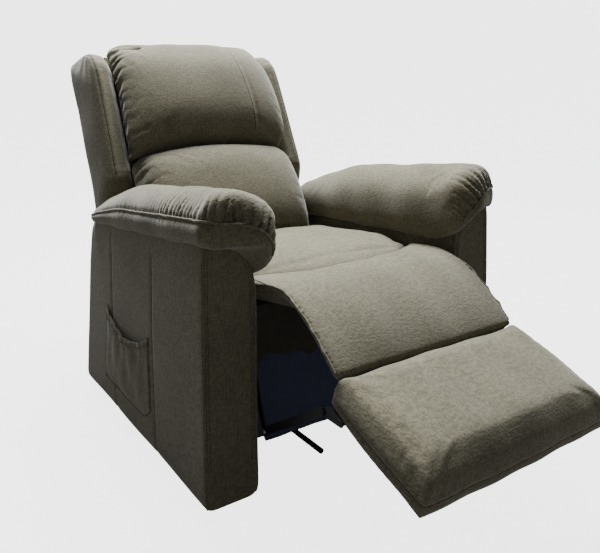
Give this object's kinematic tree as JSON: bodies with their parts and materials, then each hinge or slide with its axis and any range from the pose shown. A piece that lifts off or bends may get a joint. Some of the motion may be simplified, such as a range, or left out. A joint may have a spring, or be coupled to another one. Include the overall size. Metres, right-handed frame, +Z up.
{
  "type": "lift recliner chair",
  "caption": "Upholstered riser recliner armchair with a reclining winged back, swing-out footrest and a lift-and-tilt base.",
  "frame": {"origin": "floor level under the middle of the chair as it stands, with the footrest out and the back reclined", "axes": "+Z up, -Y the way the sitter faces, +X towards the sitter's left hand"},
  "size_m": [0.86, 1.5941, 1.0154],
  "materials": {
    "woven_fabric": "grey-brown marl woven upholstery",
    "border_cloth": "dark grey border cloth",
    "dust_cloth": "navy-black non-woven dust cloth",
    "black_steel": "satin black powder coat",
    "spring_steel": "drawn steel",
    "black_plastic": "moulded black",
    "glide_plastic": "moulded glides",
    "plywood": "plain birch plywood"
  },
  "bodies": {
    "base": {"base_front_frame": "black_steel", "base_rail_left": "black_steel", "base_rail_right": "black_steel", "base_rear_frame": "black_steel", "glide_front_left": "glide_plastic", "glide_front_right": "glide_plastic", "glide_rear_left": "glide_plastic", "glide_rear_right": "glide_plastic", "lift_bracket_left": "black_steel", "lift_bracket_right": "black_steel"},
    "lift_links": {"lift_cross_tube": "black_steel", "lift_link_left": "black_steel", "lift_link_right": "black_steel"},
    "guide_links": {"guide_link_left": "black_steel", "guide_link_right": "black_steel"},
    "chassis": {"arm_pad_left": "woven_fabric", "arm_pad_right": "woven_fabric", "arm_shell_left": "woven_fabric", "arm_shell_right": "woven_fabric", "back_motor_hanger": "black_steel", "chaise_pad": "woven_fabric", "chassis_mid_tube": "black_steel", "chassis_rear_tube": "black_steel", "control_box": "black_plastic", "dust_curtain": "dust_cloth", "lift_lug_left": "black_steel", "lift_lug_right": "black_steel", "seat_cushion": "woven_fabric", "seat_front_border": "border_cloth", "seat_front_rail": "plywood", "seat_rear_rail": "plywood", "seat_spring_1": "spring_steel", "seat_spring_2": "spring_steel", "seat_spring_3": "spring_steel", "side_plate_left": "black_steel", "side_plate_right": "black_steel", "side_pocket": "woven_fabric"},
    "lift_motor": {"lift_actuator_housing": "black_plastic"},
    "lift_rod": {"lift_actuator_rod": "spring_steel"},
    "back_motor": {"back_actuator_housing": "black_plastic"},
    "back_rod": {"back_actuator_rod": "spring_steel"},
    "back": {"back_bracket_left": "black_steel", "back_bracket_right": "black_steel", "back_frame": "plywood", "back_lever": "black_steel", "back_rear_cover": "woven_fabric", "lumbar_cushion": "woven_fabric", "upper_back_cushion": "woven_fabric", "wing_left": "woven_fabric", "wing_right": "woven_fabric"},
    "footrest": {"footrest_board": "plywood", "footrest_bracket_left": "black_steel", "footrest_bracket_right": "black_steel", "footrest_pad": "woven_fabric"},
    "swing_links": {"swing_link_left": "black_steel", "swing_link_right": "black_steel"},
    "carry_links": {"carry_link_left": "black_steel", "carry_link_right": "black_steel"}
  },
  "joints": [
    {"name": "lift", "type": "hinge", "parent": "base", "child": "lift_links", "pos_m": [0, -0.182, 0.07], "axis": [1, 0, 0], "range_deg": [0, 60]},
    {"name": "lift_guide", "type": "hinge", "parent": "base", "child": "guide_links", "pos_m": [0, -0.161, 0.089], "axis": [1, 0, 0], "range_deg": [-1, 61]},
    {"name": "seat_tilt", "type": "hinge", "parent": "lift_links", "child": "chassis", "pos_m": [0, 0.14835, 0.15852], "axis": [1, 0, 0], "range_deg": [-33, 1]},
    {"name": "lift_motor_pivot", "type": "hinge", "parent": "base", "child": "lift_motor", "pos_m": [0, 0.198, 0.052], "axis": [1, 0, 0], "range_deg": [-0.16, 8.39]},
    {"name": "lift_rod_slide", "type": "slide", "parent": "lift_motor", "child": "lift_rod", "axis": [0, -0.9114, 0.4116], "range_m": [-0.00254, 0.12955]},
    {"name": "recline", "type": "hinge", "parent": "chassis", "child": "back", "pos_m": [0, 0.268, 0.365], "axis": [-1, 0, 0], "range_deg": [-12, 28]},
    {"name": "back_motor_pivot", "type": "hinge", "parent": "chassis", "child": "back_motor", "pos_m": [0, -0.147, 0.285], "axis": [1, 0, 0], "range_deg": [-0.74, 1.66]},
    {"name": "back_rod_slide", "type": "slide", "parent": "back_motor", "child": "back_rod", "axis": [0, 0.995, -0.0995], "range_m": [-0.05851, 0.026]},
    {"name": "footrest_swing", "type": "hinge", "parent": "chassis", "child": "footrest", "pos_m": [0, -0.462, 0.455], "axis": [1, 0, 0], "range_deg": [-20, 68], "deforming": ["chaise_pad"]},
    {"name": "footrest_link", "type": "hinge", "parent": "chassis", "child": "swing_links", "pos_m": [0, -0.262, 0.33], "axis": [1, 0, 0], "range_deg": [-21, 69]},
    {"name": "footrest_knee", "type": "hinge", "parent": "swing_links", "child": "carry_links", "pos_m": [0, -0.332, 0.143], "axis": [1, 0, 0], "range_deg": [-69, 21]}
  ],
  "couplings": [
    {"joint": "seat_tilt", "follows": "lift", "ratio": -0.53333},
    {"joint": "lift_guide", "follows": "lift", "ratio": 0.93429},
    {"joint": "lift_motor_pivot", "follows": "lift", "ratio": 0.13706},
    {"joint": "lift_rod_slide", "follows": "lift", "m_per_rad": 0.12129},
    {"joint": "back_motor_pivot", "follows": "recline", "ratio": 0.05764},
    {"joint": "back_rod_slide", "follows": "recline", "m_per_rad": -0.1164},
    {"joint": "footrest_link", "follows": "footrest_swing", "ratio": 1},
    {"joint": "footrest_knee", "follows": "footrest_swing", "ratio": -1}
  ]
}
